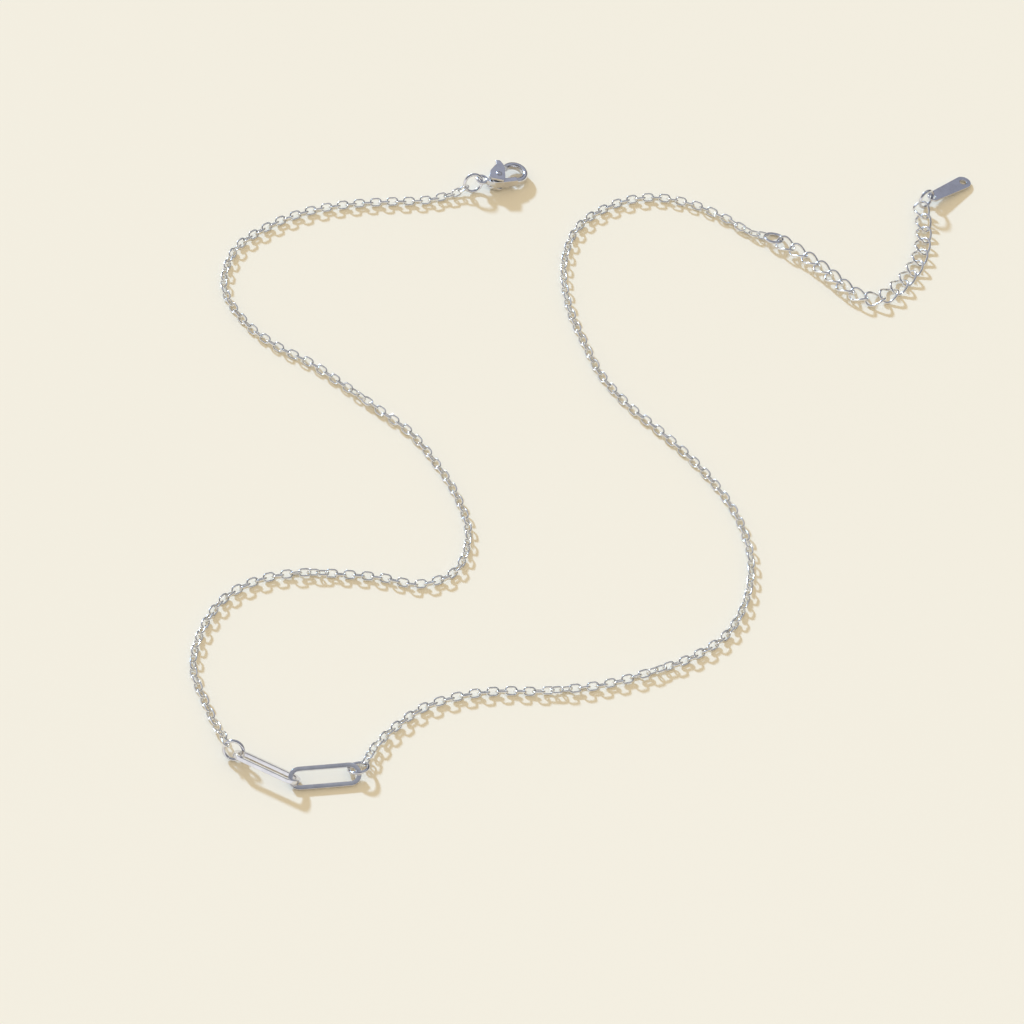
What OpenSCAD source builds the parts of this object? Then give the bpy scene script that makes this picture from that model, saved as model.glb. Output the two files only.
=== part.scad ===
// Paperclip chain necklace, lying open and flat, in millimetres.
// The ground is z = 0; the two long links are at the front (-y).

/* [Fine chain] */

// length of one link of the fine chain
fine_link_length = 2.28; // [2.2:0.02:2.4]
// width of one link of the fine chain
fine_link_width = 1.6; // [1.5:0.05:1.7]
// wire of the fine chain
fine_wire = 0.32; // [0.28:0.01:0.34]

/* [Long links] */

// length of each long link
clip_length = 11.7; // [11.1:0.1:12.3]
// width of each long link
clip_width = 3.75; // [3.65:0.05:3.9]
// width of the flat wire of the long links
clip_band = 0.72; // [0.64:0.02:0.74]
// thickness of the flat wire of the long links
clip_thickness = 0.7; // [0.6:0.02:0.72]

/* [Jump rings] */

// outer diameter of the jump rings
ring_outer = 3.8; // [3.7:0.05:3.9]
// outer diameter of the jump ring at the clasp
clasp_ring_outer = 3.8; // [3.7:0.05:3.9]
// wire of the jump rings
ring_wire = 0.56; // [0.5:0.01:0.58]

/* [Extender] */

// length of one twisted link of the extender
extender_link_length = 4; // [3.95:0.05:4.15]
// width of one twisted link of the extender
extender_link_width = 3.2; // [3:0.05:3.4]
// wire of the extender
extender_wire = 0.42; // [0.36:0.01:0.44]

/* [End tag] */

// length of the end tag
tag_length = 10.2; // [9.2:0.1:11]
// width of the end tag at its free end
tag_width = 2.9; // [2.6:0.1:3.2]
// thickness of the end tag
tag_thickness = 0.4; // [0.3:0.05:0.5]
// diameter of the hole at the free end of the tag
tag_hole = 1.2; // [1:0.05:1.4]

/* [Clasp] */

// length of the clasp from eye to claw tip
clasp_length = 9.9; // [9.6:0.1:10.1]

/* [Hidden] */

$fn = 48;

// gaps left between links that hang in each other
fine_gap = 0.15;
extender_gap = 0.25;
// step from link to link
fine_pitch = fine_link_length - 2 * fine_wire - fine_gap;
extender_pitch = extender_link_length - 2 * extender_wire - extender_gap;
// half sizes of the link centre lines
fine_side = fine_link_width / 2 - fine_wire / 2;
ext_a = extender_link_length / 2 - extender_wire / 2;
ext_b = extender_link_width / 2 - extender_wire / 2;
ext_h = 0.55;
ring_mid = (ring_outer - ring_wire) / 2;
clasp_ring_mid = (clasp_ring_outer - ring_wire) / 2;
// height of the fine chain's centre above the ground
fine_z = fine_side * sin(45) + fine_wire / 2;

// small vector helpers
function unit(v) = v / norm(v);
function turn_x(v, a) = [v[0], v[1] * cos(a) - v[2] * sin(a), v[1] * sin(a) + v[2] * cos(a)];
function turn_y(v, a) = [v[0] * cos(a) + v[2] * sin(a), v[1], v[2] * cos(a) - v[0] * sin(a)];
function turn_z(v, a) = [v[0] * cos(a) - v[1] * sin(a), v[0] * sin(a) + v[1] * cos(a), v[2]];
// roll, tilt and heading, in that order
function turned(v, t) = turn_z(turn_y(turn_x(v, t[0]), t[1]), t[2]);
function heading(d) = atan2(d[1], d[0]);
function tilt(d) = -asin(d[2] / norm(d));
// roll that brings a link's own y axis onto the direction side_dir
function roll_onto(d, side_dir) =
    let (x = unit(d), y = unit([-x[1], x[0], 0]), z = cross(x, y))
    atan2(side_dir * z, side_dir * y);
// the same roll, half turns off, nearest to the wanted one
function nearest(a, goal) = a - 180 * round((a - goal) / 180);

// smooth route through a short list of points
function knot(p, i) =
    i < 0 ? 2 * p[0] - p[1]
    : i > len(p) - 1 ? 2 * p[len(p) - 1] - p[len(p) - 2]
    : p[i];
function blend(a, b, c, d, t) =
    0.5 * (2 * b + (c - a) * t + (2 * a - 5 * b + 4 * c - d) * t * t + (3 * b - a - 3 * c + d) * t * t * t);
function smooth(p, n) = [
    for (i = [0 : len(p) - 2])
        for (j = [0 : n - 1])
            blend(knot(p, i - 1), p[i], p[i + 1], knot(p, i + 2), j / n),
    p[len(p) - 1]
];
// running length along the route, one entry per point
function running(p) = [
    for (i = 0, s = 0; i < len(p); s = s + (i < len(p) - 1 ? norm(p[i + 1] - p[i]) : 0), i = i + 1) s
];
function table(p, s, k) = [for (i = [0 : len(p) - 1]) [s[i], p[i][k]]];
function tables(p) = let (s = running(p)) [table(p, s, 0), table(p, s, 1), table(p, s, 2), s[len(s) - 1]];
function along(t, s) = [lookup(s, t[0]), lookup(s, t[1]), lookup(s, t[2])];
function heading_at(t, s, r) = along(t, min(s + r, t[3])) - along(t, max(s - r, 0));

// long links: each hangs on its fixed inner end
clip_1_end = [-37.53, -75.94];
clip_1_turn = [-37, 0, -21];
clip_2_end = [-39.37, -75.41];
clip_2_turn = [23, 0, 15];
function clip_z(t) = clip_width / 2 * abs(sin(t[0])) + clip_thickness / 2 * cos(t[0]) + 0.005;
clip_1_at = [clip_1_end[0], clip_1_end[1], clip_z(clip_1_turn) + 0.02] - turned([clip_length / 2, 0, 0], clip_1_turn);
clip_2_at = [clip_2_end[0], clip_2_end[1], clip_z(clip_2_turn)] + turned([clip_length / 2, 0, 0], clip_2_turn);

// clasp frame
clasp_at = [-19.6, 61.98, 1.61];
clasp_turn = [0, 7, 19];
clasp_scale = clasp_length / 9.9;
eye_x = -3.7;
eye_y = -1;
pin_x = -0.75;
pin_y = -0.95;
// thickness of the body, of its slot in the lever, and of the lever
body_t = 1.5;
slot_t = body_t + 0.24;
lever_t = 2.8;
// gap between the lever's faces and the pin's heads
pin_gap = 0.12;
function clasp_point(v) = clasp_at + turned(v * clasp_scale, clasp_turn);

// jump rings: a point on the ring's wire that stays put, and its angle
function ring_vector(a, t) = turned([cos(a), sin(a), 0], t);
ring_clasp_turn = [68.8, 0, 26.4];
ring_clasp_at = clasp_point([eye_x, eye_y, 0])
    + [-0.07, -0.16, clasp_ring_mid - 1.58] - clasp_ring_mid * ring_vector(9, ring_clasp_turn);
ring_left_turn = [63.5, 0, -8.8];
ring_left_at = clip_1_at - turned([clip_length / 2, 0, 0], clip_1_turn)
    + [-0.12, 0.06, 0.39] + (1.62 - ring_mid) * ring_vector(-21, ring_left_turn);
ring_right_turn = [-27.4, 0, 31.5];
ring_right_at = clip_2_at + turned([clip_length / 2, 0, 0], clip_2_turn)
    + [-0.58, 0.97, 0.03] + (1.62 - ring_mid) * ring_vector(213, ring_right_turn);
ring_connector_turn = [-19, 0, -5];
ring_connector_at = [29.94, 56, 0.3 + ring_mid * sin(19)];
ring_tag_turn = [80, 0, 48];
ring_tag_at = [56.6, 69.5, ring_mid + 0.3];

// hook: centre, direction and side axis of a link that hangs on a ring's wire
function hook(at, t, mid, a, goal, half, wire, gap) =
    let (p = at + mid * ring_vector(a, t),
        along_wire = ring_vector(a + 90, t),
        v = unit(goal - p),
        d = unit(v - (v * along_wire) * along_wire))
    [p + d * (half - wire / 2 - ((ring_wire + wire) / 2 + gap)), d, cross(d, along_wire)];

// route of the clasp side of the fine chain, clasp to long links
left_points = [
    [-27.3, 56.7, 0.76], [-29, 55.8], [-32.5, 54.2], [-39.4, 52.6], [-46.3, 50.6], [-52.9, 47.6],
    [-58.9, 42.9], [-63.7, 36.4], [-64.3, 27.4], [-59.7, 20.1], [-53.6, 15.5], [-47.1, 12.5],
    [-40.8, 8.4], [-34.7, 4.2], [-28.8, 0.1], [-23.7, -5.9], [-19.3, -12.7], [-16.5, -20.5],
    [-17.7, -28.5], [-23.3, -32.4], [-29.9, -32.1], [-36.4, -32.5], [-42.9, -33.4], [-49.1, -35.7],
    [-54.3, -40.4], [-57.1, -47.6], [-57.4, -55.6], [-54.2, -62.6], [-51.8, -67.2, 1.1]
];
// route of the extender side, long links to the connector ring
right_points = [
    [-27.3, -68.7, 1], [-26.9, -67.3, 0.92], [-25.8, -65.3, 0.8], [-24.4, -62.9, 0.68], [-19.9, -57.6], [-14.1, -54.2], [-7.9, -52.2],
    [-1.5, -51.2], [4.9, -49.5], [11.1, -47], [17.1, -43.7], [22.9, -39.8], [27.9, -34.2],
    [30.5, -26.3], [30.6, -17.9], [28.1, -9.9], [23.9, -3.2], [18.9, 2.5], [13.4, 7.5],
    [7.7, 12.3], [2.5, 18.3], [-1.4, 25.8], [-4.8, 34], [-6.4, 43.3], [-4.8, 52.4],
    [0.6, 58.9], [7.3, 62.2], [14.4, 62], [20.4, 59.8], [24.9, 57.1]
];
// route of the extender, connector ring to tag ring
extender_points = [
    [35, 53], [37.4, 51.2], [39.8, 49.3], [42, 47.3], [44.1, 45.6], [46.4, 44.5], [48.8, 44.6],
    [50.8, 45.9], [52.3, 47.8], [53.6, 49.9], [54.7, 52.1], [55.7, 54.7], [56.3, 57.7], [56.5, 60.8], [56.4, 63.7]
];
function lifted(p, z) = [for (q = p) [q[0], q[1], len(q) > 2 ? q[2] : z]];
function led(a, p, b) = concat([a[0], a[0] + a[1]], p, [b[0] + b[1], b[0]]);

// lay of the fine chain: links lean 45 degrees left and right in turn,
// and the lay swings over a quarter turn where the chain is twisted
left_twist = [[0, 0], [85, 0], [94, 90], [153, 90], [162, 0]];
ease = 9;
left_start = hook(ring_clasp_at, ring_clasp_turn, clasp_ring_mid, 200, [-28.1, 56.5, 0.75], fine_link_length / 2, fine_wire, fine_gap);
left_end = hook(ring_left_at, ring_left_turn, ring_mid, 150, [-51.8, -67.2, 1.1], fine_link_length / 2, fine_wire, fine_gap);
left_way = tables(smooth(led(left_start, lifted(left_points, fine_z), left_end), 8));
left_count = ceil(left_way[3] / fine_pitch) + 1;
left_step = left_way[3] / (left_count - 1);
function lean(i) = i % 2 == 0 ? 45 : -45;
left_first = nearest(roll_onto(left_start[1], left_start[2]), 45) - 45;
left_last_lean = lean(left_count - 1) + lookup(left_way[3], left_twist);
left_last = nearest(roll_onto(-left_end[1], left_end[2]), left_last_lean) - left_last_lean;
function left_swing(s) =
    lookup(s, left_twist) + left_first * max(0, 1 - s / ease) + left_last * max(0, 1 - (left_way[3] - s) / ease);
function lay_height(w) = fine_z + fine_side * (max(abs(sin(45 + w)), abs(sin(w - 45))) - sin(45)) + 0.012;
function left_place(i) =
    let (s = left_step * i, p = along(left_way, s))
    i == 0 || i == left_count - 1 ? p : [p[0], p[1], max(p[2], lay_height(left_swing(s)))];
function left_heading(i) =
    i == 0 ? left_start[1] : i == left_count - 1 ? -left_end[1] : heading_at(left_way, left_step * i, 0.75);

// extender side of the fine chain, as one round cord of the chain's size
right_start = hook(ring_right_at, ring_right_turn, ring_mid, 28, [-27.3, -68.3, 1.2], fine_link_length / 2, fine_wire, fine_gap);
right_end = hook(ring_connector_at, ring_connector_turn, ring_mid, 178, [26.2, 57.1, 0.62], fine_link_length / 2, fine_wire, fine_gap);
right_radius = fine_link_width * 0.45;
right_way = tables(smooth(led(right_start, lifted(right_points, right_radius), right_end), 8));
right_rings = 78;

// extender links
extender_start = hook(ring_connector_at, ring_connector_turn, ring_mid, -30, [34.8, 53.2, 0.9], ext_a + extender_wire / 2, extender_wire, 0.14);
extender_end = hook(ring_tag_at, ring_tag_turn, ring_mid, 202, [56.5, 65, 1], ext_a + extender_wire / 2, extender_wire, 0.14);
extender_way = tables(smooth(led(extender_start, lifted(extender_points, 0.8), extender_end), 6));
extender_count = ceil(extender_way[3] / extender_pitch) + 1;
extender_step = extender_way[3] / (extender_count - 1);
extender_roll = [[0, 0], [4, -14], [15, -12], [24, 4], [45, 4]];
// centre height that sets a twisted link on the ground, by its roll and tilt
function extender_z(r, t) =
    extender_wire / 2 + 0.005 - min([for (k = [0 : 15]) turned(oval_point(k), [r, t, 0])[2]]);
function extender_place(i) =
    let (p = along(extender_way, extender_step * i), r = lookup(extender_step * i, extender_roll))
    [p[0], p[1], max(p[2], extender_z(r, tilt(extender_heading(i))))];
function extender_heading(i) =
    i == 0 ? extender_start[1]
    : i == extender_count - 1 ? -extender_end[1]
    : heading_at(extender_way, extender_step * i, 1.4);

// tag hangs with its small hole on the tag ring
tag_turn = [0, 7, 45.6];
tag_eye_inset = 0.8;
tag_near_r = 1.1;
tag_at = ring_tag_at + ring_mid * ring_vector(-18, ring_tag_turn) + turned([0.05, 0, 0], tag_turn);

// the whole necklace, brought to the middle of the ground
middle = [0.28, -0.4, 0];
module laid() {
    color("silver")
        translate(middle)
            children();
}

// building blocks
module oval_link(length, width, wire) {
    r = (width - wire) / 2;
    h = (length - width) / 2;
    for (s = [0, 180])
        rotate([0, 0, s])
            union() {
                translate([h, 0, 0])
                    rotate([0, 0, -90])
                        rotate_extrude(angle = 180)
                            translate([r, 0])
                                circle(d = wire);
                translate([-h, r, 0])
                    rotate([0, 90, 0])
                        cylinder(d = wire, h = 2 * h);
            }
}

module band_profile() {
    c = 0.14;
    x = clip_band / 2;
    y = clip_thickness / 2;
    polygon([[x - c, -y], [x, c - y], [x, y - c], [x - c, y], [c - x, y], [-x, y - c], [-x, c - y], [c - x, -y]]);
}

module long_link() {
    r = (clip_width - clip_band) / 2;
    h = (clip_length - clip_width) / 2;
    for (s = [0, 180])
        rotate([0, 0, s])
            union() {
                translate([h, 0, 0])
                    rotate([0, 0, -90])
                        rotate_extrude(angle = 180)
                            translate([r, 0])
                                band_profile();
                translate([-h, r, 0])
                    rotate([90, 0, 90])
                        linear_extrude(2 * h)
                            band_profile();
            }
}

module jump_ring(mid) {
    rotate_extrude()
        translate([mid, 0])
            circle(d = ring_wire);
}

// closed sweep of a round wire along a twisted oval
twist_steps = 16;
wire_sides = 6;
function oval_point(k) =
    let (t = 360 * k / twist_steps) [ext_a * cos(t), ext_b * sin(t), -ext_h * sin(2 * t)];
function oval_dir(k) =
    let (t = 360 * k / twist_steps) unit([-ext_a * sin(t), ext_b * cos(t), -2 * ext_h * cos(2 * t)]);
function oval_ring(k) =
    let (c = oval_point(k), d = oval_dir(k), n = unit(cross(d, [0, 0, 1])), b = cross(d, n))
    [for (j = [0 : wire_sides - 1]) c + extender_wire / 2 * (cos(360 * j / wire_sides) * n + sin(360 * j / wire_sides) * b)];
function ring_faces(i, j, n, m) =
    let (a = (i % m) * n + j, b = (i % m) * n + (j + 1) % n, c = ((i + 1) % m) * n + (j + 1) % n, d = ((i + 1) % m) * n + j)
    [[a, d, b], [b, d, c]];

module twisted_link() {
    polyhedron(
        points = [for (k = [0 : twist_steps - 1]) for (q = oval_ring(k)) q],
        faces = [for (i = [0 : twist_steps - 1]) for (j = [0 : wire_sides - 1]) for (f = ring_faces(i, j, wire_sides, twist_steps)) f]
    );
}

// nodes
module left_chain() {
    laid()
        for (i = [0 : left_count - 1]) {
            d = left_heading(i);
            translate(left_place(i))
                rotate([lean(i) + left_swing(left_step * i), tilt(d), heading(d)])
                    oval_link(fine_link_length, fine_link_width, fine_wire);
        }
}

cord_sides = 8;
function cord_station(i) = 0.06 + (right_way[3] - 0.12) * i / (right_rings - 1);
function cord_center(i) =
    let (p = along(right_way, cord_station(i))) [p[0], p[1], max(p[2], right_radius + 0.01)];
function cord_ring(i) =
    let (d = unit(heading_at(right_way, cord_station(i), 0.5)),
        n = unit([d[1], -d[0], 0]),
        b = cross(d, n))
    [for (j = [0 : cord_sides - 1])
        let (a = 360 * (j + 0.5) / cord_sides)
        cord_center(i) + right_radius * (cos(a) * n + sin(a) * b)];

module right_chain() {
    last = right_rings - 1;
    laid()
        polyhedron(
            points = [for (i = [0 : last]) for (q = cord_ring(i)) q],
            faces = concat(
                [for (i = [0 : last - 1]) for (j = [0 : cord_sides - 1]) for (f = ring_faces(i, j, cord_sides, right_rings)) f],
                [[for (j = [0 : cord_sides - 1]) j]],
                [[for (j = [cord_sides - 1 : -1 : 0]) last * cord_sides + j]]
            )
        );
}

module paperclip_link_1() {
    laid()
        translate(clip_1_at)
            rotate(clip_1_turn)
                long_link();
}

module paperclip_link_2() {
    laid()
        translate(clip_2_at)
            rotate(clip_2_turn)
                long_link();
}

module ring_left() {
    laid()
        translate(ring_left_at)
            rotate(ring_left_turn)
                jump_ring(ring_mid);
}

module ring_right() {
    laid()
        translate(ring_right_at)
            rotate(ring_right_turn)
                jump_ring(ring_mid);
}

module ring_clasp() {
    laid()
        translate(ring_clasp_at)
            rotate(ring_clasp_turn)
                jump_ring(clasp_ring_mid);
}

module ring_connector() {
    laid()
        translate(ring_connector_at)
            rotate(ring_connector_turn)
                jump_ring(ring_mid);
}

module extender_chain() {
    laid()
        for (i = [0 : extender_count - 1]) {
            d = extender_heading(i);
            translate(extender_place(i))
                rotate([lookup(extender_step * i, extender_roll), tilt(d), heading(d)])
                    twisted_link();
        }
}

module ring_tag() {
    laid()
        translate(ring_tag_at)
            rotate(ring_tag_turn)
                jump_ring(ring_mid);
}

module tag() {
    far = tag_length - tag_eye_inset - tag_width / 2;
    near_r = tag_near_r;
    near_x = near_r - tag_eye_inset;
    far_r = tag_width / 2;
    // tangent points of the two end rounds
    g = asin((far_r - near_r) / (far - near_x));
    laid()
        translate(tag_at)
            rotate(tag_turn)
                translate([0, 0, -tag_thickness / 2])
                    linear_extrude(tag_thickness)
                        difference() {
                            union() {
                                translate([near_x, 0])
                                    circle(r = near_r);
                                translate([far, 0])
                                    circle(r = far_r);
                                polygon([
                                    [near_x - near_r * sin(g), near_r * cos(g)],
                                    [near_x - near_r * sin(g), -near_r * cos(g)],
                                    [far - far_r * sin(g), -far_r * cos(g)],
                                    [far - far_r * sin(g), far_r * cos(g)]
                                ]);
                            }
                            circle(r = 0.55);
                            translate([far, 0])
                                circle(d = tag_hole);
                        }
}

// round-edged bar profile, w wide and t thick
module bar_profile(w, t) {
    for (s = [-1, 1])
        translate([0, s * (t - w) / 2])
            circle(d = w);
    square([w, t - w], center = true);
}

module bar(x0, y0, x1, y1, w, t) {
    d = norm([x1 - x0, y1 - y0]);
    translate([x0, y0, 0])
        rotate([0, 0, atan2(y1 - y0, x1 - x0)])
            translate([0, -w / 2, -t / 2])
                cube([d, w, t]);
}

module disc(x, y, r, t) {
    translate([x, y, -t / 2])
        cylinder(r = r, h = t);
}

module clasp_body() {
    laid()
        translate(clasp_at)
            rotate(clasp_turn)
                scale(clasp_scale)
                    difference() {
                        union() {
                            // claw
                            translate([2.6, 0.25, 0])
                                rotate([0, 0, -92])
                                    rotate_extrude(angle = 228)
                                        translate([1.95, 0])
                                            bar_profile(1, body_t);
                            // lower arm from the claw back to the eye
                            bar(2.55, -1.7, 0, -2, 0.95, body_t);
                            disc(0, -2, 0.47, body_t);
                            bar(0, -2, -1.5, -2.05, 0.95, body_t);
                            disc(-1.5, -2.05, 0.47, body_t);
                            bar(-1.5, -2.05, -2.4, -1.6, 0.9, 1.2);
                            disc(-2.4, -1.6, 0.4, 1);
                            bar(-2.4, -1.6, -2.92, -1.36, 0.8, 1);
                            // lug that carries the lever
                            disc(pin_x, pin_y, 0.8, body_t);
                            bar(pin_x, pin_y, pin_x, -2, 1.6, body_t);
                            // eye
                            translate([eye_x, eye_y, 0])
                                rotate_extrude()
                                    translate([0.87, 0])
                                        circle(d = 0.56);
                        }
                        disc(pin_x, pin_y, 0.38, 3);
                    }
}

module lever_outline() {
    polygon([
        [-0.57, 2.43], [0.16, 2.36], [0.58, 1.34], [0.68, 0.59], [0.12, -2.14], [-0.28, -2.62],
        [-2.35, -1.93], [-2.69, -1.42], [-2.19, -0.07], [-1.42, 0.78], [-0.71, 1.43]
    ]);
}

module clasp_lever() {
    laid()
        translate(clasp_at)
            rotate(clasp_turn)
                scale(clasp_scale)
                    difference() {
                        translate([0, 0, -lever_t / 2])
                            linear_extrude(lever_t)
                                lever_outline();
                        // slot for the body
                        disc(pin_x, pin_y, 0.95, slot_t);
                        translate([-3.05, -3.25, -slot_t / 2])
                            cube([4, 3, slot_t]);
                        translate([-3.2, -1, -slot_t / 2])
                            cube([1.3, 1.5, slot_t]);
                        disc(pin_x, pin_y, 0.38, 3);
                    }
}

module clasp_pin() {
    laid()
        translate(clasp_at)
            rotate(clasp_turn)
                scale(clasp_scale)
                    union() {
                        disc(pin_x, pin_y, 0.26, lever_t + 2 * pin_gap + 0.1);
                        for (z = [lever_t / 2 + pin_gap, -lever_t / 2 - pin_gap - 0.12])
                            translate([pin_x, pin_y, z])
                                cylinder(r = 0.5, h = 0.12);
                    }
}

left_chain();
right_chain();
paperclip_link_1();
paperclip_link_2();
ring_left();
ring_right();
ring_clasp();
ring_connector();
extender_chain();
ring_tag();
tag();
clasp_body();
clasp_lever();
clasp_pin();
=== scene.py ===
import math
import random

import bmesh
import bpy
import numpy as np
from mathutils import Matrix, Vector

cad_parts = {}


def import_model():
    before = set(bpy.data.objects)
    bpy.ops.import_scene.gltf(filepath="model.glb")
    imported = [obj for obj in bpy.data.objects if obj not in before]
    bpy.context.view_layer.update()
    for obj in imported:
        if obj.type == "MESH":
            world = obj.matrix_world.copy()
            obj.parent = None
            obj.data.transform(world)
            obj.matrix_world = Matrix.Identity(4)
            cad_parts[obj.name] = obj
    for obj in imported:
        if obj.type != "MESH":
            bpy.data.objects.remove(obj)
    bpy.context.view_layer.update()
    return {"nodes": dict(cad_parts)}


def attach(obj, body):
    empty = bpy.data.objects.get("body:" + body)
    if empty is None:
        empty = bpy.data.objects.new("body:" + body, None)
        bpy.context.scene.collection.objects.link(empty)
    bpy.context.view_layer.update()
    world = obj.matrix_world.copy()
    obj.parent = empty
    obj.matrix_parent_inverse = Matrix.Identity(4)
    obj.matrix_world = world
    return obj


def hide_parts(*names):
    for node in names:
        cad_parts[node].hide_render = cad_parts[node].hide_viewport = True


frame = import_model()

# Lengths are in mm and angles in degrees, as in the part's source, unless a line says otherwise.
MM = 0.001
COLL = bpy.context.scene.collection
bpy.context.scene.view_settings.view_transform = "Standard"


# Vectors and turns

def vec(*v):
    return np.array(v, float)


def unit(v):
    return v / np.linalg.norm(v)


def turn_matrix(t):
    """Roll, tilt and heading, in that order, as the part's source turns things."""
    a, b, c = (math.radians(x) for x in t)
    rx = np.array([[1, 0, 0], [0, math.cos(a), -math.sin(a)], [0, math.sin(a), math.cos(a)]])
    ry = np.array([[math.cos(b), 0, math.sin(b)], [0, 1, 0], [-math.sin(b), 0, math.cos(b)]])
    rz = np.array([[math.cos(c), -math.sin(c), 0], [math.sin(c), math.cos(c), 0], [0, 0, 1]])
    return rz @ ry @ rx


def turned(v, t):
    return turn_matrix(t) @ vec(*v)


def heading(d):
    return math.degrees(math.atan2(d[1], d[0]))


def tilt(d):
    return -math.degrees(math.asin(d[2] / np.linalg.norm(d)))


def roll_onto(d, side):
    """The roll about d that brings a link's own side direction onto side."""
    x = unit(d)
    y = unit(vec(-x[1], x[0], 0))
    z = np.cross(x, y)
    return math.degrees(math.atan2(side @ z, side @ y))


def half_up(x):
    """The nearest whole number, with halves rounded away from 0."""
    return math.floor(x + 0.5) if x >= 0 else -math.floor(-x + 0.5)


def nearest(a, goal):
    """Of the angle a and its half turns, the one nearest to goal."""
    return a - 180 * half_up((a - goal) / 180)


# Routes

def smooth(p, n):
    """A smooth curve through the points p, with n steps from each point to the next."""
    p = [vec(*q) for q in p]

    def knot(i):
        if i < 0:
            return 2 * p[0] - p[1]
        if i > len(p) - 1:
            return 2 * p[-1] - p[-2]
        return p[i]

    out = []
    for i in range(len(p) - 1):
        a, b, c, d = knot(i - 1), p[i], p[i + 1], knot(i + 2)
        for j in range(n):
            t = j / n
            out.append(0.5 * (2 * b + (c - a) * t + (2 * a - 5 * b + 4 * c - d) * t * t
                              + (3 * b - a - 3 * c + d) * t ** 3))
    out.append(p[-1])
    return np.array(out)


class Way:
    """A smooth route with its running length."""

    def __init__(self, points, n):
        self.p = smooth(points, n)
        steps = np.linalg.norm(np.diff(self.p, axis=0), axis=1)
        self.s = np.concatenate([[0], np.cumsum(steps)])
        self.length = float(self.s[-1])

    def at(self, s):
        return vec(*[np.interp(s, self.s, self.p[:, k]) for k in range(3)])

    def ahead(self, s, r):
        """The direction at s, taken over r to either side."""
        return self.at(min(s + r, self.length)) - self.at(max(s - r, 0))


def table(s, rows):
    """The value at s in rows of (length along the route, value)."""
    return float(np.interp(s, [r[0] for r in rows], [r[1] for r in rows]))


def lifted(p, z):
    """Points with a height: their own, or else z."""
    return [vec(q[0], q[1], q[2] if len(q) > 2 else z) for q in p]


def led(a, p, b):
    """Points that leave the hook a and arrive at the hook b along their links."""
    return [a[0], a[0] + a[1]] + list(p) + [b[0] + b[1], b[0]]


# Sizes, as in the part's source

FINE_L, FINE_W, FINE_WIRE, FINE_GAP = 2.28, 1.6, 0.32, 0.15
CLIP_L, CLIP_W, CLIP_BAND, CLIP_T = 11.7, 3.75, 0.72, 0.7
RING_OUT, CLASP_RING_OUT, RING_WIRE = 3.8, 3.8, 0.56
EXT_L, EXT_W, EXT_WIRE, EXT_GAP = 4.0, 3.2, 0.42, 0.25
TAG_L, TAG_W, TAG_T = 10.2, 2.9, 0.4
TAG_EYE, TAG_HOLE = 1.1, 1.2  # the hole by the ring and the far one
FINE_SIDE = FINE_W / 2 - FINE_WIRE / 2
FINE_PITCH = FINE_L - 2 * FINE_WIRE - FINE_GAP
EXT_A, EXT_B, EXT_H = EXT_L / 2 - EXT_WIRE / 2, EXT_W / 2 - EXT_WIRE / 2, 0.55
EXT_PITCH = EXT_L - 2 * EXT_WIRE - EXT_GAP
EXT_HOOK_GAP = 0.14
RING_MID = (RING_OUT - RING_WIRE) / 2
CLASP_RING_MID = (CLASP_RING_OUT - RING_WIRE) / 2
EYE, PIN = (-3.7, -1.0), (-0.75, -0.95)

# Fine links lean by turns to one side and the other, and clear the ground by a hair
LEAN = 45
LEAN_SINE = math.sin(math.radians(LEAN))
FINE_Z = FINE_SIDE * LEAN_SINE + FINE_WIRE / 2
FINE_CLEAR, GROUND_CLEAR = 0.012, 0.005

# The length over which a fine chain's lay eases into the links at its ends, how far to
# either side of a link its direction is taken from the route, and the route's steps from
# one of its points to the next
EASE, FINE_REACH, EXT_REACH = 9, 0.75, 1.4
FINE_STEPS, EXT_STEPS = 8, 6

# Added to all places, so that the middle of the whole part is over zero
MIDDLE = vec(0.28, -0.4, 0)


# Places of the long links, the clasp, the jump rings and the tag

def clip_z(t):
    """The height of a long link's middle when its lower side lies on the ground."""
    return (CLIP_W / 2 * abs(math.sin(math.radians(t[0])))
            + CLIP_T / 2 * math.cos(math.radians(t[0])) + GROUND_CLEAR)


def ring_vector(a, t):
    """The direction at the angle a of a ring with the turn t."""
    a = math.radians(a)
    return turned((math.cos(a), math.sin(a), 0), t)


CLIP_1_TURN, CLIP_2_TURN = (-37, 0, -21), (23, 0, 15)
HALF_CLIP_1 = turned((CLIP_L / 2, 0, 0), CLIP_1_TURN)
HALF_CLIP_2 = turned((CLIP_L / 2, 0, 0), CLIP_2_TURN)
CLIP_1 = vec(-37.53, -75.94, clip_z(CLIP_1_TURN) + 0.02) - HALF_CLIP_1
CLIP_2 = vec(-39.37, -75.41, clip_z(CLIP_2_TURN)) + HALF_CLIP_2
CLASP, CLASP_TURN = vec(-19.6, 61.98, 1.61), (0, 7, 19)
CLASP_EYE = CLASP + turned((EYE[0], EYE[1], 0), CLASP_TURN)

# The rings on the long links and the clasp were placed with these radii. The terms with them
# keep each ring hooked there when its size changes.
SET_MID, CLASP_SET_MID = 1.62, 1.58
CLASP_RING_TURN, CONN_RING_TURN, TAG_RING_TURN = (68.8, 0, 26.4), (-19, 0, -5), (80, 0, 48)
LEFT_RING_TURN, RIGHT_RING_TURN = (63.5, 0, -8.8), (-27.4, 0, 31.5)
REST_Z = 0.3

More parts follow.
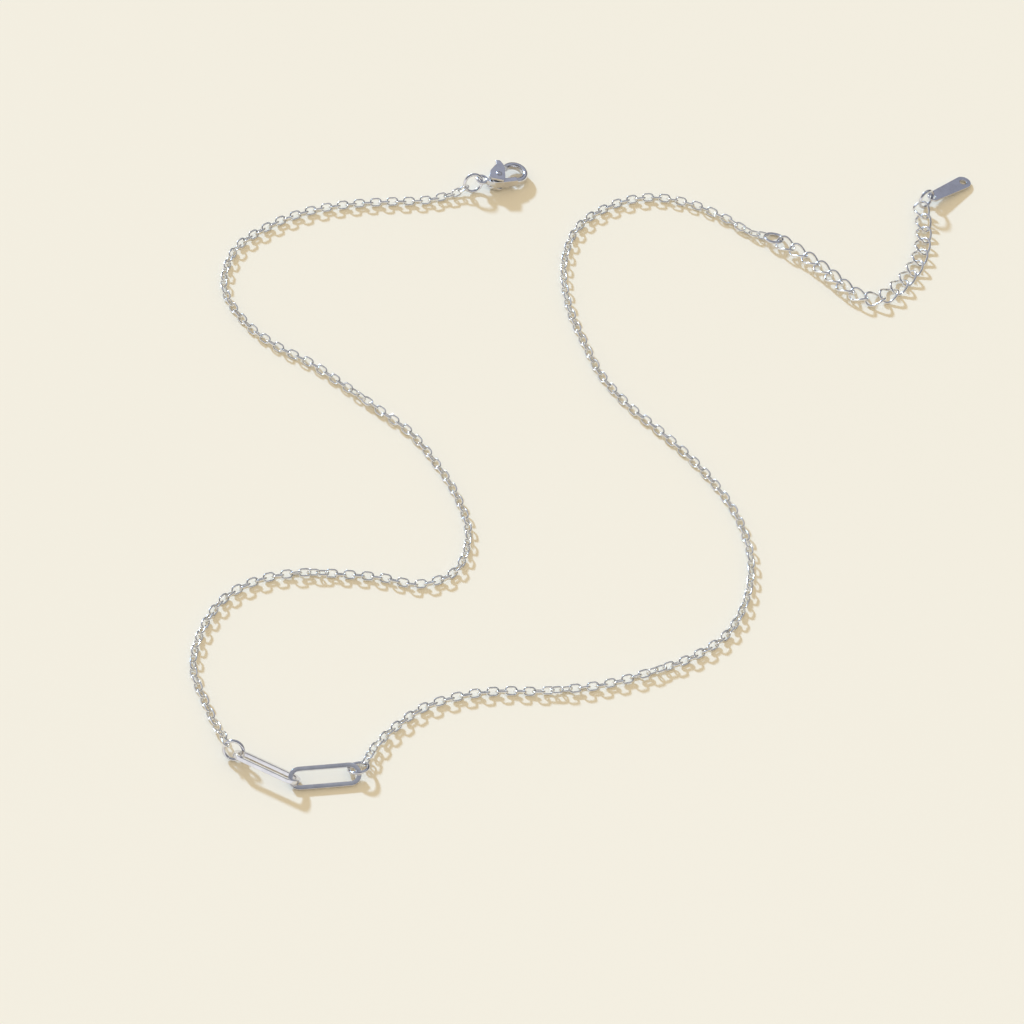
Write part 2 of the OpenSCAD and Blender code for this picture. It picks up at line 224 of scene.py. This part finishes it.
# Rings: middle, turn, and radius of the wire's centre line
RING_CLASP = (CLASP_EYE + vec(-0.07, -0.16, CLASP_RING_MID - CLASP_SET_MID)
              - CLASP_RING_MID * ring_vector(9, CLASP_RING_TURN), CLASP_RING_TURN, CLASP_RING_MID)
RING_LEFT = (CLIP_1 - HALF_CLIP_1 + vec(-0.12, 0.06, 0.39)
             + (SET_MID - RING_MID) * ring_vector(-21, LEFT_RING_TURN), LEFT_RING_TURN, RING_MID)
RING_RIGHT = (CLIP_2 + HALF_CLIP_2 + vec(-0.58, 0.97, 0.03)
              + (SET_MID - RING_MID) * ring_vector(213, RIGHT_RING_TURN), RIGHT_RING_TURN, RING_MID)
RING_CONN = (vec(29.94, 56, REST_Z + RING_MID * math.sin(math.radians(-CONN_RING_TURN[0]))),
             CONN_RING_TURN, RING_MID)
RING_TAG = (vec(56.6, 69.5, RING_MID + REST_Z), TAG_RING_TURN, RING_MID)

# The tag's own zero is the middle of the hole by the ring, TAG_INSET from that end. TAG_NEAR
# is the radius of the end.
TAG_TURN, TAG_INSET, TAG_NEAR = (0, 7, 45.6), 0.8, 1.1
TAG = (RING_TAG[0] + RING_MID * ring_vector(-18, TAG_RING_TURN)
       + turned((0.05, 0, 0), TAG_TURN))

# Routes of the chains as (x, y) or (x, y, z), read off the photo and straightened for its angle
LEFT_POINTS = [
    (-27.3, 56.7, 0.76), (-29, 55.8), (-32.5, 54.2), (-39.4, 52.6), (-46.3, 50.6),
    (-52.9, 47.6), (-58.9, 42.9), (-63.7, 36.4), (-64.3, 27.4), (-59.7, 20.1), (-53.6, 15.5),
    (-47.1, 12.5), (-40.8, 8.4), (-34.7, 4.2), (-28.8, 0.1), (-23.7, -5.9), (-19.3, -12.7),
    (-16.5, -20.5), (-17.7, -28.5), (-23.3, -32.4), (-29.9, -32.1), (-36.4, -32.5),
    (-42.9, -33.4), (-49.1, -35.7), (-54.3, -40.4), (-57.1, -47.6), (-57.4, -55.6),
    (-54.2, -62.6), (-51.8, -67.2, 1.1),
]
RIGHT_POINTS = [
    (-27.3, -68.7, 1), (-26.9, -67.3, 0.92), (-25.8, -65.3, 0.8), (-24.4, -62.9, 0.68),
    (-19.9, -57.6), (-14.1, -54.2), (-7.9, -52.2), (-1.5, -51.2), (4.9, -49.5), (11.1, -47),
    (17.1, -43.7), (22.9, -39.8), (27.9, -34.2), (30.5, -26.3), (30.6, -17.9), (28.1, -9.9),
    (23.9, -3.2), (18.9, 2.5), (13.4, 7.5), (7.7, 12.3), (2.5, 18.3), (-1.4, 25.8),
    (-4.8, 34), (-6.4, 43.3), (-4.8, 52.4), (0.6, 58.9), (7.3, 62.2), (14.4, 62),
    (20.4, 59.8), (24.9, 57.1),
]
EXT_POINTS = [
    (35, 53), (37.4, 51.2), (39.8, 49.3), (42, 47.3), (44.1, 45.6), (46.4, 44.5), (48.8, 44.6),
    (50.8, 45.9), (52.3, 47.8), (53.6, 49.9), (54.7, 52.1), (55.7, 54.7), (56.3, 57.7),
    (56.5, 60.8), (56.4, 63.7),
]
EXT_Z = 0.8

# How the lay of the links swings along each route, as (mm along it, degrees)
LEFT_TWIST = [(0, 0), (85, 0), (94, 90), (153, 90), (162, 0)]
RIGHT_TWIST = [(0, 0), (33.5, 0), (43, 90), (48.5, 90), (58, 0)]
EXT_ROLLS = [(0, 0), (4, -14), (15, -12), (24, 4), (45, 4)]


# Places of the chains' links, as (middle, turn)

def hook(ring, a, goal, half, wire, gap):
    """A link hung on a ring at its angle a, toward goal: middle, direction and side."""
    at, t, mid = ring
    p = at + mid * ring_vector(a, t)
    along = ring_vector(a + 90, t)
    v = unit(vec(*goal) - p)
    d = unit(v - (v @ along) * along)
    return p + d * (half - wire / 2 - ((RING_WIRE + wire) / 2 + gap)), d, np.cross(d, along)


def fine_hook(ring, a, goal):
    return hook(ring, a, goal, FINE_L / 2, FINE_WIRE, FINE_GAP)


def ext_hook(ring, a, goal):
    return hook(ring, a, goal, EXT_A + EXT_WIRE / 2, EXT_WIRE, EXT_HOOK_GAP)


def lean(i):
    return LEAN if i % 2 == 0 else -LEAN


def lay_height(w):
    """The height at which the links of a lay swung by w clear the ground."""
    s = max(abs(math.sin(math.radians(LEAN + w))), abs(math.sin(math.radians(w - LEAN))))
    return FINE_Z + FINE_SIDE * (s - LEAN_SINE) + FINE_CLEAR


def spread(way, pitch):
    """Count and step of the links that fill a route at about one pitch."""
    count = math.ceil(way.length / pitch) + 1
    return count, way.length / (count - 1)


def fine_places(start, end, points, twist):
    way = Way(led(start, lifted(points, FINE_Z), end), FINE_STEPS)
    count, step = spread(way, FINE_PITCH)
    first = nearest(roll_onto(start[1], start[2]), LEAN) - LEAN
    last_lean = lean(count - 1) + table(way.length, twist)
    last = nearest(roll_onto(-end[1], end[2]), last_lean) - last_lean
    out = []
    for i in range(count):
        s = step * i
        swing = (table(s, twist) + first * max(0, 1 - s / EASE)
                 + last * max(0, 1 - (way.length - s) / EASE))
        p = way.at(s)
        if 0 < i < count - 1:
            p[2] = max(p[2], lay_height(swing))
            d = way.ahead(s, FINE_REACH)
        else:
            d = start[1] if i == 0 else -end[1]
        out.append((p, (lean(i) + swing, tilt(d), heading(d))))
    return out


PROBES = 16  # points of a twisted link that are held above the ground


def oval_point(t):
    """A point on the centre line of a twisted link, t in radians."""
    return vec(EXT_A * math.cos(t), EXT_B * math.sin(t), -EXT_H * math.sin(2 * t))


def ext_places(start, end, points, rolls):
    way = Way(led(start, lifted(points, EXT_Z), end), EXT_STEPS)
    count, step = spread(way, EXT_PITCH)
    probes = [oval_point(math.radians(360 / PROBES * k)) for k in range(PROBES)]
    out = []
    for i in range(count):
        s = step * i
        d = start[1] if i == 0 else -end[1] if i == count - 1 else way.ahead(s, EXT_REACH)
        r = table(s, rolls)
        p = way.at(s)
        low = min(turned(q, (r, tilt(d), 0))[2] for q in probes)
        p[2] = max(p[2], EXT_WIRE / 2 + GROUND_CLEAR - low)
        out.append((p, (r, tilt(d), heading(d))))
    return out


LEFT = fine_places(fine_hook(RING_CLASP, 200, (-28.1, 56.5, 0.75)),
                   fine_hook(RING_LEFT, 150, (-51.8, -67.2, 1.1)), LEFT_POINTS, LEFT_TWIST)
RIGHT = fine_places(fine_hook(RING_RIGHT, 28, (-27.3, -68.3, 1.2)),
                    fine_hook(RING_CONN, 178, (26.2, 57.1, 0.62)), RIGHT_POINTS, RIGHT_TWIST)
EXTENDER = ext_places(ext_hook(RING_CONN, -30, (34.8, 53.2, 0.9)),
                      ext_hook(RING_TAG, 202, (56.5, 65, 1)), EXT_POINTS, EXT_ROLLS)


# Sections and paths

def stadium(length, width, wire, arc, side):
    """Centre line of a long oval link with its outward directions."""
    r, h = (width - wire) / 2, (length - width) / 2
    pts, out = [], []
    for sign in (1, -1):
        for k in range(arc + 1):
            a = math.radians(-90 + 180 * k / arc) + (0 if sign > 0 else math.pi)
            pts.append((sign * h + r * math.cos(a), r * math.sin(a), 0))
            out.append((math.cos(a), math.sin(a), 0))
        for k in range(1, side):
            x = sign * h * (1 - 2 * k / side)
            pts.append((x, sign * r, 0))
            out.append((0, sign, 0))
    return np.array(pts), np.array(out)


def arc_path(r, n, start, span):
    """Centre line of an open ring with its outward directions."""
    a = np.radians(start + span * np.arange(n) / (n - 1))
    out = np.stack([np.cos(a), np.sin(a), 0 * a], 1)
    return out * r, out


def round_section(d, sides):
    a = 2 * np.pi * (np.arange(sides) + 0.5) / sides
    return np.stack([np.cos(a), np.sin(a)], 1) * d / 2


def bar_section(w, t, r, steps, crown):
    """Rounded rectangle, w across and t thick, its sides raised by crown at their middles."""
    rows = (0.06, 0.35, 0.65, 0.94)
    pts = []
    for cx, cy, a0 in ((1, 1, 0), (-1, 1, 90), (-1, -1, 180), (1, -1, 270)):
        for k in range(steps + 1):
            a = math.radians(a0 + 90 * k / steps)
            pts.append((cx * (w / 2 - r) + r * math.cos(a), cy * (t / 2 - r) + r * math.sin(a)))
        x0, y0 = pts[-1]
        for f in rows:
            rise = crown * 4 * f * (1 - f)
            if a0 in (0, 180):
                pts.append((x0 - cx * 2 * (w / 2 - r) * f, y0 + cy * rise))
            else:
                pts.append((x0 + cx * rise, y0 - cy * 2 * (t / 2 - r) * f))
    return np.array(pts)


def sweep(path, out, section, closed=True):
    """Vertices and faces of a section carried along a path."""
    n, m = len(path), len(section)
    if closed:
        d = np.roll(path, -1, 0) - np.roll(path, 1, 0)
    else:
        d = np.gradient(path, axis=0)
    d /= np.linalg.norm(d, axis=1)[:, None]
    u = out - (out * d).sum(1)[:, None] * d
    u /= np.linalg.norm(u, axis=1)[:, None]
    v = np.cross(d, u)
    verts = path[:, None] + section[None, :, :1] * u[:, None] + section[None, :, 1:] * v[:, None]
    faces = []
    for i in range(n if closed else n - 1):
        a, b = i * m, ((i + 1) % n) * m
        for j in range(m):
            k = (j + 1) % m
            faces.append((a + j, a + k, b + k, b + j))
    if not closed:
        faces.append(tuple(range(m - 1, -1, -1)))
        faces.append(tuple((n - 1) * m + j for j in range(m)))
    return verts.reshape(-1, 3), faces


# Meshes and pieces

# Vertices this near become one; share and rounds of the softening of the clasp's edges
WELD = 1e-4
SOFTEN, SOFTEN_ROUNDS = 0.5, 7


def put(verts, at, turn):
    return verts @ turn_matrix(turn).T + at + MIDDLE


def coords(mesh):
    co = np.empty(len(mesh.vertices) * 3)
    mesh.vertices.foreach_get("co", co)
    return co.reshape(-1, 3)


def set_coords(mesh, co):
    mesh.vertices.foreach_set("co", co.ravel())


def clean(mesh, weld=False, outward=False):
    """Joins vertices at one place and turns all faces outward, each if asked."""
    bm = bmesh.new()
    bm.from_mesh(mesh)
    if weld:
        bmesh.ops.remove_doubles(bm, verts=bm.verts, dist=WELD)
    if outward:
        bmesh.ops.recalc_face_normals(bm, faces=bm.faces)
    bm.to_mesh(mesh)
    bm.free()


def shaded_smooth(mesh):
    mesh.polygons.foreach_set("use_smooth", [True] * len(mesh.polygons))


def evaluated(work, name):
    """The mesh that a linked object's curve or modifiers give; the object goes."""
    graph = bpy.context.evaluated_depsgraph_get()
    mesh = bpy.data.meshes.new_from_object(work.evaluated_get(graph))
    bpy.data.objects.remove(work)
    mesh.name = name
    return mesh


def finished(name, mesh, body, material, nodes):
    ob = bpy.data.objects.new(name, mesh)
    COLL.objects.link(ob)
    mesh.materials.clear()
    mesh.materials.append(material)
    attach(ob, body)
    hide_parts(*nodes)


def piece(name, parts, body, material, nodes):
    """One object from a list of (vertices in mm, faces)."""
    verts, faces, base = [], [], 0
    for v, f in parts:
        verts.append(v)
        faces.extend(tuple(base + i for i in q) for q in f)
        base += len(v)
    mesh = bpy.data.meshes.new(name)
    mesh.from_pydata((np.concatenate(verts) * MM).tolist(), [], faces)
    clean(mesh, outward=True)
    shaded_smooth(mesh)
    finished(name, mesh, body, material, nodes)


def refined(name, node, voxel, body, material):
    """A finely meshed, softly rounded copy of a solid, in place of the plain one."""
    mesh = frame["nodes"][node].data.copy()
    co = coords(mesh)
    mid = (co.min(0) + co.max(0)) / 2
    set_coords(mesh, (co - mid) / MM)
    clean(mesh, weld=True)
    work = bpy.data.objects.new(name + "_shape", mesh)
    COLL.objects.link(work)
    fine = work.modifiers.new("fine", "REMESH")
    fine.mode = "VOXEL"
    fine.voxel_size = voxel
    soft = work.modifiers.new("soft", "SMOOTH")
    soft.factor = SOFTEN
    soft.iterations = SOFTEN_ROUNDS
    mesh = evaluated(work, name)
    set_coords(mesh, coords(mesh) * MM + mid)
    shaded_smooth(mesh)
    mesh.update()
    finished(name, mesh, body, material, [node])


# Metals

DENT_DEPTH = 0.00004  # in metres
CLOUD_EDGES, LINE_EDGES, LINES_PER_CLOUD = (0.32, 0.62), (0.3, 0.75), 6


def metal(name, tone, deep, rough, wear, bump, scale):
    """Polished plated metal: faint cloudy tone, fine polishing lines and small dents."""
    m = bpy.data.materials.new(name)
    m.use_nodes = True
    nt = m.node_tree
    nt.nodes.clear()
    new, link = nt.nodes.new, nt.links.new
    out, bsdf = new("ShaderNodeOutputMaterial"), new("ShaderNodeBsdfPrincipled")
    link(bsdf.outputs[0], out.inputs[0])
    bsdf.inputs["Metallic"].default_value = 1.0
    co = new("ShaderNodeTexCoord")
    cloud = new("ShaderNodeTexNoise")
    cloud.inputs["Scale"].default_value = scale
    cloud.inputs["Detail"].default_value = 5
    cloud.inputs["Roughness"].default_value = 0.6
    link(co.outputs["Object"], cloud.inputs["Vector"])
    ramp = new("ShaderNodeValToRGB")
    for e, edge, color in zip(ramp.color_ramp.elements, CLOUD_EDGES, (deep, tone)):
        e.position = edge
        e.color = (*color, 1)
    link(cloud.outputs[0], ramp.inputs[0])
    link(ramp.outputs[0], bsdf.inputs["Base Color"])
    lines = new("ShaderNodeTexNoise")
    lines.inputs["Scale"].default_value = scale * LINES_PER_CLOUD
    lines.inputs["Detail"].default_value = 3
    link(co.outputs["Object"], lines.inputs["Vector"])
    span = new("ShaderNodeMapRange")
    span.inputs["From Min"].default_value = LINE_EDGES[0]
    span.inputs["From Max"].default_value = LINE_EDGES[1]
    span.inputs["To Min"].default_value = rough
    span.inputs["To Max"].default_value = rough + wear
    link(lines.outputs[0], span.inputs[0])
    link(span.outputs[0], bsdf.inputs["Roughness"])
    dents = new("ShaderNodeBump")
    dents.inputs["Strength"].default_value = bump
    dents.inputs["Distance"].default_value = DENT_DEPTH
    link(cloud.outputs[0], dents.inputs["Height"])
    link(dents.outputs[0], bsdf.inputs["Normal"])
    return m


# The tones are linear; the numbers are roughness, its spread, dents and scale of the clouds.
TONE, DEEP = (0.80, 0.80, 0.83), (0.66, 0.66, 0.70)
FINE_TONE, FINE_DEEP = (0.96, 0.95, 0.93), (0.74, 0.73, 0.71)
EXT_TONE, EXT_DEEP = (0.94, 0.93, 0.92), (0.78, 0.77, 0.77)
TAG_TONE = (0.74, 0.75, 0.80)
FINE_METAL = metal("fine_chain_metal", FINE_TONE, FINE_DEEP, 0.11, 0.08, 0.25, 900)
FLAT_METAL = metal("flat_link_metal", TONE, DEEP, 0.09, 0.07, 0.12, 500)
RING_METAL = metal("ring_metal", TONE, DEEP, 0.10, 0.08, 0.18, 700)
EXT_METAL = metal("extender_metal", EXT_TONE, EXT_DEEP, 0.13, 0.08, 0.22, 700)
TAG_METAL = metal("tag_metal", TAG_TONE, DEEP, 0.14, 0.08, 0.15, 450)
CLASP_METAL = metal("clasp_metal", TONE, DEEP, 0.11, 0.08, 0.15, 500)


# Fine chains: round wire links, each rolled a little by chance

SHAKE = 2.5
rng = random.Random(7)
FINE_LINK = sweep(*stadium(FINE_L, FINE_W, FINE_WIRE, arc=12, side=2),
                  round_section(FINE_WIRE, sides=10))


def fine_chain(name, node, places):
    parts = []
    for i, (at, turn) in enumerate(places):
        shake = rng.uniform(-SHAKE, SHAKE) if 1 < i < len(places) - 2 else 0
        parts.append((put(FINE_LINK[0], at, (turn[0] + shake, turn[1], turn[2])), FINE_LINK[1]))
    piece(name, parts, "necklace", FINE_METAL, [node])


fine_chain("fine_chain_left", "left_chain", LEFT)
fine_chain("fine_chain_right", "right_chain", RIGHT)


# Long flat links, with small rounds and faintly crowned sides

CLIP_SECTION = bar_section(CLIP_BAND, CLIP_T, r=0.08, steps=5, crown=0.01)
CLIP_LINK = sweep(*stadium(CLIP_L, CLIP_W, CLIP_BAND, arc=36, side=14), CLIP_SECTION)
for name, node, at, turn in (("long_link_1", "paperclip_link_1", CLIP_1, CLIP_1_TURN),
                             ("long_link_2", "paperclip_link_2", CLIP_2, CLIP_2_TURN)):
    piece(name, [(put(CLIP_LINK[0], at, turn), CLIP_LINK[1])], "necklace",
          FLAT_METAL, [node])


# Jump rings, bent from wire, with a hairline joint

# Half the joint's opening as an angle, and how far each end stands to its side
JOINT_OPEN, JOINT_STEP = 0.9, 0.012
RING_STEPS = 97


def jump_ring(name, node, ring, joint):
    at, turn, mid = ring
    path, out = arc_path(mid, RING_STEPS, joint + JOINT_OPEN, 360 - 2 * JOINT_OPEN)
    path = path + np.outer(np.linspace(-JOINT_STEP, JOINT_STEP, len(path)), (0, 0, 1))
    v, f = sweep(path, out, round_section(RING_WIRE, sides=20), closed=False)
    piece(name, [(put(v, at, turn), f)], "necklace", RING_METAL, [node])


jump_ring("jump_ring_left", "ring_left", RING_LEFT, 250)
jump_ring("jump_ring_right", "ring_right", RING_RIGHT, 100)
jump_ring("jump_ring_clasp", "ring_clasp", RING_CLASP, 100)
jump_ring("jump_ring_connector", "ring_connector", RING_CONN, 75)
jump_ring("jump_ring_tag", "ring_tag", RING_TAG, 95)


# Extender of twisted links

EXT_ARC = 40
EXT_PATH = np.array([oval_point(t) for t in np.linspace(0, 2 * np.pi, EXT_ARC + 1)[:-1]])
EXT_LINK = sweep(EXT_PATH, EXT_PATH * (1, 1, 0), round_section(EXT_WIRE, sides=14))
piece("extender_links", [(put(EXT_LINK[0], p, t), EXT_LINK[1]) for p, t in EXTENDER],
      "necklace", EXT_METAL, ["extender_chain"])


# End tag: an outline with two holes, thickened, with rounded edges

TAG_EDGE, BEVEL_STEPS = 0.09, 4
FAR_STEPS, NEAR_STEPS, HOLE_STEPS = 40, 32, 48


def arc_points(x, r, start, span, steps):
    """Points of an arc about (x, 0), angles in radians."""
    turns = [start + span * k / steps for k in range(steps + 1)]
    return [(x + r * math.cos(a), r * math.sin(a)) for a in turns]


def tag_loops():
    near, far_r = TAG_NEAR - TAG_INSET, TAG_W / 2
    far = TAG_L - TAG_INSET - far_r
    g = math.asin((far_r - TAG_NEAR) / (far - near))
    rim = arc_points(far, far_r - TAG_EDGE, -math.pi / 2 - g, math.pi + 2 * g, FAR_STEPS)
    rim += arc_points(near, TAG_NEAR - TAG_EDGE, math.pi / 2 + g, math.pi - 2 * g, NEAR_STEPS)
    holes = [arc_points(x, d / 2 + TAG_EDGE, 0, 2 * math.pi, HOLE_STEPS)[:-1]
             for x, d in ((0, TAG_EYE), (far, TAG_HOLE))]
    return [rim] + holes


def end_tag():
    curve = bpy.data.curves.new("end_tag_shape", "CURVE")
    curve.dimensions = "2D"
    curve.fill_mode = "BOTH"
    curve.extrude = TAG_T / 2 - TAG_EDGE
    curve.bevel_depth = TAG_EDGE
    curve.bevel_resolution = BEVEL_STEPS
    for pts in tag_loops():
        s = curve.splines.new("POLY")
        s.points.add(len(pts) - 1)
        for q, (x, y) in zip(s.points, pts):
            q.co = (x, y, 0, 1)
        s.use_cyclic_u = True
    work = bpy.data.objects.new("end_tag_shape", curve)
    COLL.objects.link(work)
    mesh = evaluated(work, "end_tag")
    clean(mesh, weld=True, outward=True)
    set_coords(mesh, put(coords(mesh), TAG, TAG_TURN) * MM)
    # the edges are rings of quads; the flat faces stay flat
    for p in mesh.polygons:
        p.use_smooth = len(p.vertices) == 4
    mesh.update()
    finished("end_tag", mesh, "necklace", TAG_METAL, ["tag"])


end_tag()


# Clasp: body and lever from their solids, and the pin as a rivet with domed heads

BODY_VOXEL, LEVER_VOXEL = 0.055, 0.045
refined("clasp_claw_and_eye", "clasp_body", BODY_VOXEL, "necklace", CLASP_METAL)
refined("clasp_thumb_lever", "clasp_lever", LEVER_VOXEL, "clasp_lever", CLASP_METAL)

PIN_SIDES, PIN_END = 40, 1.63
# radius and height from the upper head to the middle; the lower half mirrors them
PIN_HALF = [(0.16, 1.62), (0.30, 1.59), (0.42, 1.53), (0.485, 1.47), (0.5, 1.43), (0.49, 1.41),
            (0.26, 1.41), (0.26, 0.6), (0.26, 0.0)]


def rivet():
    rows = PIN_HALF + [(r, -z) for r, z in reversed(PIN_HALF[:-1])]
    n = PIN_SIDES
    verts, faces = [(0, 0, PIN_END)], []
    for r, z in rows:
        for k in range(n):
            a = 2 * math.pi * k / n
            verts.append((r * math.cos(a), r * math.sin(a), z))
    verts.append((0, 0, -PIN_END))
    last = 1 + (len(rows) - 1) * n
    for k in range(n):
        faces.append((0, 1 + k, 1 + (k + 1) % n))
        faces.append((len(verts) - 1, last + (k + 1) % n, last + k))
    for i in range(len(rows) - 1):
        a, b = 1 + i * n, 1 + (i + 1) * n
        for k in range(n):
            faces.append((a + k, b + k, b + (k + 1) % n, a + (k + 1) % n))
    v = put(np.array(verts) + (*PIN, 0), CLASP, CLASP_TURN)
    piece("clasp_rivet", [(v, faces)], "necklace", CLASP_METAL, ["clasp_pin"])


rivet()


# Floor of warm paper, sizes in metres

FLOOR_A, FLOOR_B = (0.84, 0.82, 0.74), (0.87, 0.85, 0.78)
FLOOR_HALF, FLOOR_CLOUDS = 3, 3.0


def floor():
    e = FLOOR_HALF
    mesh = bpy.data.meshes.new("floor")
    mesh.from_pydata([(-e, -e, 0), (e, -e, 0), (e, e, 0), (-e, e, 0)], [], [(0, 1, 2, 3)])
    ob = bpy.data.objects.new("floor", mesh)
    COLL.objects.link(ob)
    m = bpy.data.materials.new("floor_paper")
    m.use_nodes = True
    nt = m.node_tree
    bsdf = nt.nodes["Principled BSDF"]
    bsdf.inputs["Roughness"].default_value = 0.9
    bsdf.inputs["Specular IOR Level"].default_value = 0.1
    noise = nt.nodes.new("ShaderNodeTexNoise")
    noise.inputs["Scale"].default_value = FLOOR_CLOUDS
    co = nt.nodes.new("ShaderNodeTexCoord")
    ramp = nt.nodes.new("ShaderNodeValToRGB")
    ramp.color_ramp.elements[0].color = (*FLOOR_A, 1)
    ramp.color_ramp.elements[1].color = (*FLOOR_B, 1)
    nt.links.new(co.outputs["Object"], noise.inputs["Vector"])
    nt.links.new(noise.outputs[0], ramp.inputs[0])
    nt.links.new(ramp.outputs[0], bsdf.inputs["Base Color"])
    mesh.materials.append(m)


floor()


# World: a warm even light for matt surfaces, and a sky of its own for the reflections. That
# sky has tones at its sides and tones above, which blend between the two heights BAND_TOP.

AMBIENT = (0.778, 0.655, 0.473)
BAND_TOP, BRIGHT_WAY, BACK_WAY = (0.35, 0.62), (-0.53, -0.85, 0), (0, 1, 0)
SIDES = [(0.30, (0.13, 0.13, 0.14)), (0.52, (0.55, 0.55, 0.57)), (0.70, (1.0, 0.99, 1.0))]
ABOVE = [(0.18, (0.06, 0.06, 0.065)), (0.47, (0.40, 0.42, 0.47)), (0.85, (0.41, 0.43, 0.51))]
MIX_COLOR_A, MIX_COLOR_B, MIX_COLOR_OUT = 6, 7, 2  # the mix node's sockets for colours


def world():
    w = bpy.data.worlds.new("studio")
    bpy.context.scene.world = w
    w.use_nodes = True
    nt = w.node_tree
    nt.nodes.clear()
    new, link = nt.nodes.new, nt.links.new
    out = new("ShaderNodeOutputWorld")
    soft, seen = new("ShaderNodeBackground"), new("ShaderNodeBackground")
    soft.inputs["Color"].default_value = (*AMBIENT, 1)
    soft.inputs["Strength"].default_value = 1.0
    seen.inputs["Strength"].default_value = 1.0
    co = new("ShaderNodeTexCoord")

    def tones(way, stops):
        """Tone by how far a direction points the given way."""
        dot, span = new("ShaderNodeVectorMath"), new("ShaderNodeMapRange")
        ramp = new("ShaderNodeValToRGB")
        dot.operation = "DOT_PRODUCT"
        dot.inputs[1].default_value = way
        link(co.outputs["Generated"], dot.inputs[0])
        span.inputs["From Min"].default_value = -1.0
        link(dot.outputs["Value"], span.inputs[0])
        link(span.outputs[0], ramp.inputs[0])
        els = ramp.color_ramp.elements
        els.remove(els[-1])
        for k, (pos, col) in enumerate(stops):
            e = els[0] if k == 0 else els.new(pos)
            e.position = pos
            e.color = (*col, 1)
        return ramp.outputs[0]

    axes, height = new("ShaderNodeSeparateXYZ"), new("ShaderNodeMapRange")
    link(co.outputs["Generated"], axes.inputs[0])
    height.interpolation_type = "SMOOTHSTEP"
    height.inputs["From Min"].default_value = BAND_TOP[0]
    height.inputs["From Max"].default_value = BAND_TOP[1]
    link(axes.outputs["Z"], height.inputs[0])
    sky = new("ShaderNodeMix")
    sky.data_type = "RGBA"
    link(height.outputs[0], sky.inputs[0])
    link(tones(BRIGHT_WAY, SIDES), sky.inputs[MIX_COLOR_A])
    link(tones(BACK_WAY, ABOVE), sky.inputs[MIX_COLOR_B])
    link(sky.outputs[MIX_COLOR_OUT], seen.inputs["Color"])
    # seen only by glossy rays that met no matt surface before
    path, first, both = new("ShaderNodeLightPath"), new("ShaderNodeMath"), new("ShaderNodeMath")
    first.operation, both.operation = "LESS_THAN", "MULTIPLY"
    first.inputs[1].default_value = 0.5
    link(path.outputs["Diffuse Depth"], first.inputs[0])
    link(first.outputs[0], both.inputs[0])
    link(path.outputs["Is Glossy Ray"], both.inputs[1])
    mix = new("ShaderNodeMixShader")
    link(both.outputs[0], mix.inputs[0])
    link(soft.outputs[0], mix.inputs[1])
    link(seen.outputs[0], mix.inputs[2])
    link(mix.outputs[0], out.inputs[0])


world()


# Sun, low, from behind and from the left

SUN_WAY, SUN_STRENGTH, SUN_COLOR, SUN_SIZE = (-1.25, 1.42, 1.0), 3.4, (0.533, 0.729, 1.0), 5
sun = bpy.data.lights.new("key", "SUN")
sun.energy = SUN_STRENGTH
sun.color = SUN_COLOR
sun.angle = math.radians(SUN_SIZE)
sun_ob = bpy.data.objects.new("key", sun)
sun_ob.rotation_euler = Vector(SUN_WAY).to_track_quat("Z", "Y").to_euler()
COLL.objects.link(sun_ob)


# Camera at the photograph's angle: AWAY from the point it looks at, down by VIEW, turned by ROLL

VIEW, ROLL, AWAY = math.radians(50.08), math.radians(7.44), 712.34
LOOK_AT = (-9.52, -14.9, 0.6)
ahead = vec(0, math.cos(VIEW), -math.sin(VIEW))
level_up, level_right = vec(0, math.sin(VIEW), math.cos(VIEW)), vec(1, 0, 0)
right = math.cos(ROLL) * level_right + math.sin(ROLL) * level_up
up = -math.sin(ROLL) * level_right + math.cos(ROLL) * level_up
cam_at = vec(LOOK_AT[0], LOOK_AT[1] - AWAY * math.cos(VIEW), AWAY * math.sin(VIEW) + LOOK_AT[2])
cam = bpy.data.cameras.new("camera")
cam.lens = 150
cam.sensor_width = 36
cam.clip_start = 0.01
cam.clip_end = 20
cam_ob = bpy.data.objects.new("camera", cam)
rows = [(right[k], up[k], -ahead[k], cam_at[k] * MM) for k in range(3)]
cam_ob.matrix_world = Matrix((*rows, (0, 0, 0, 1)))
COLL.objects.link(cam_ob)
bpy.context.scene.camera = cam_ob

bpy.context.view_layer.update()
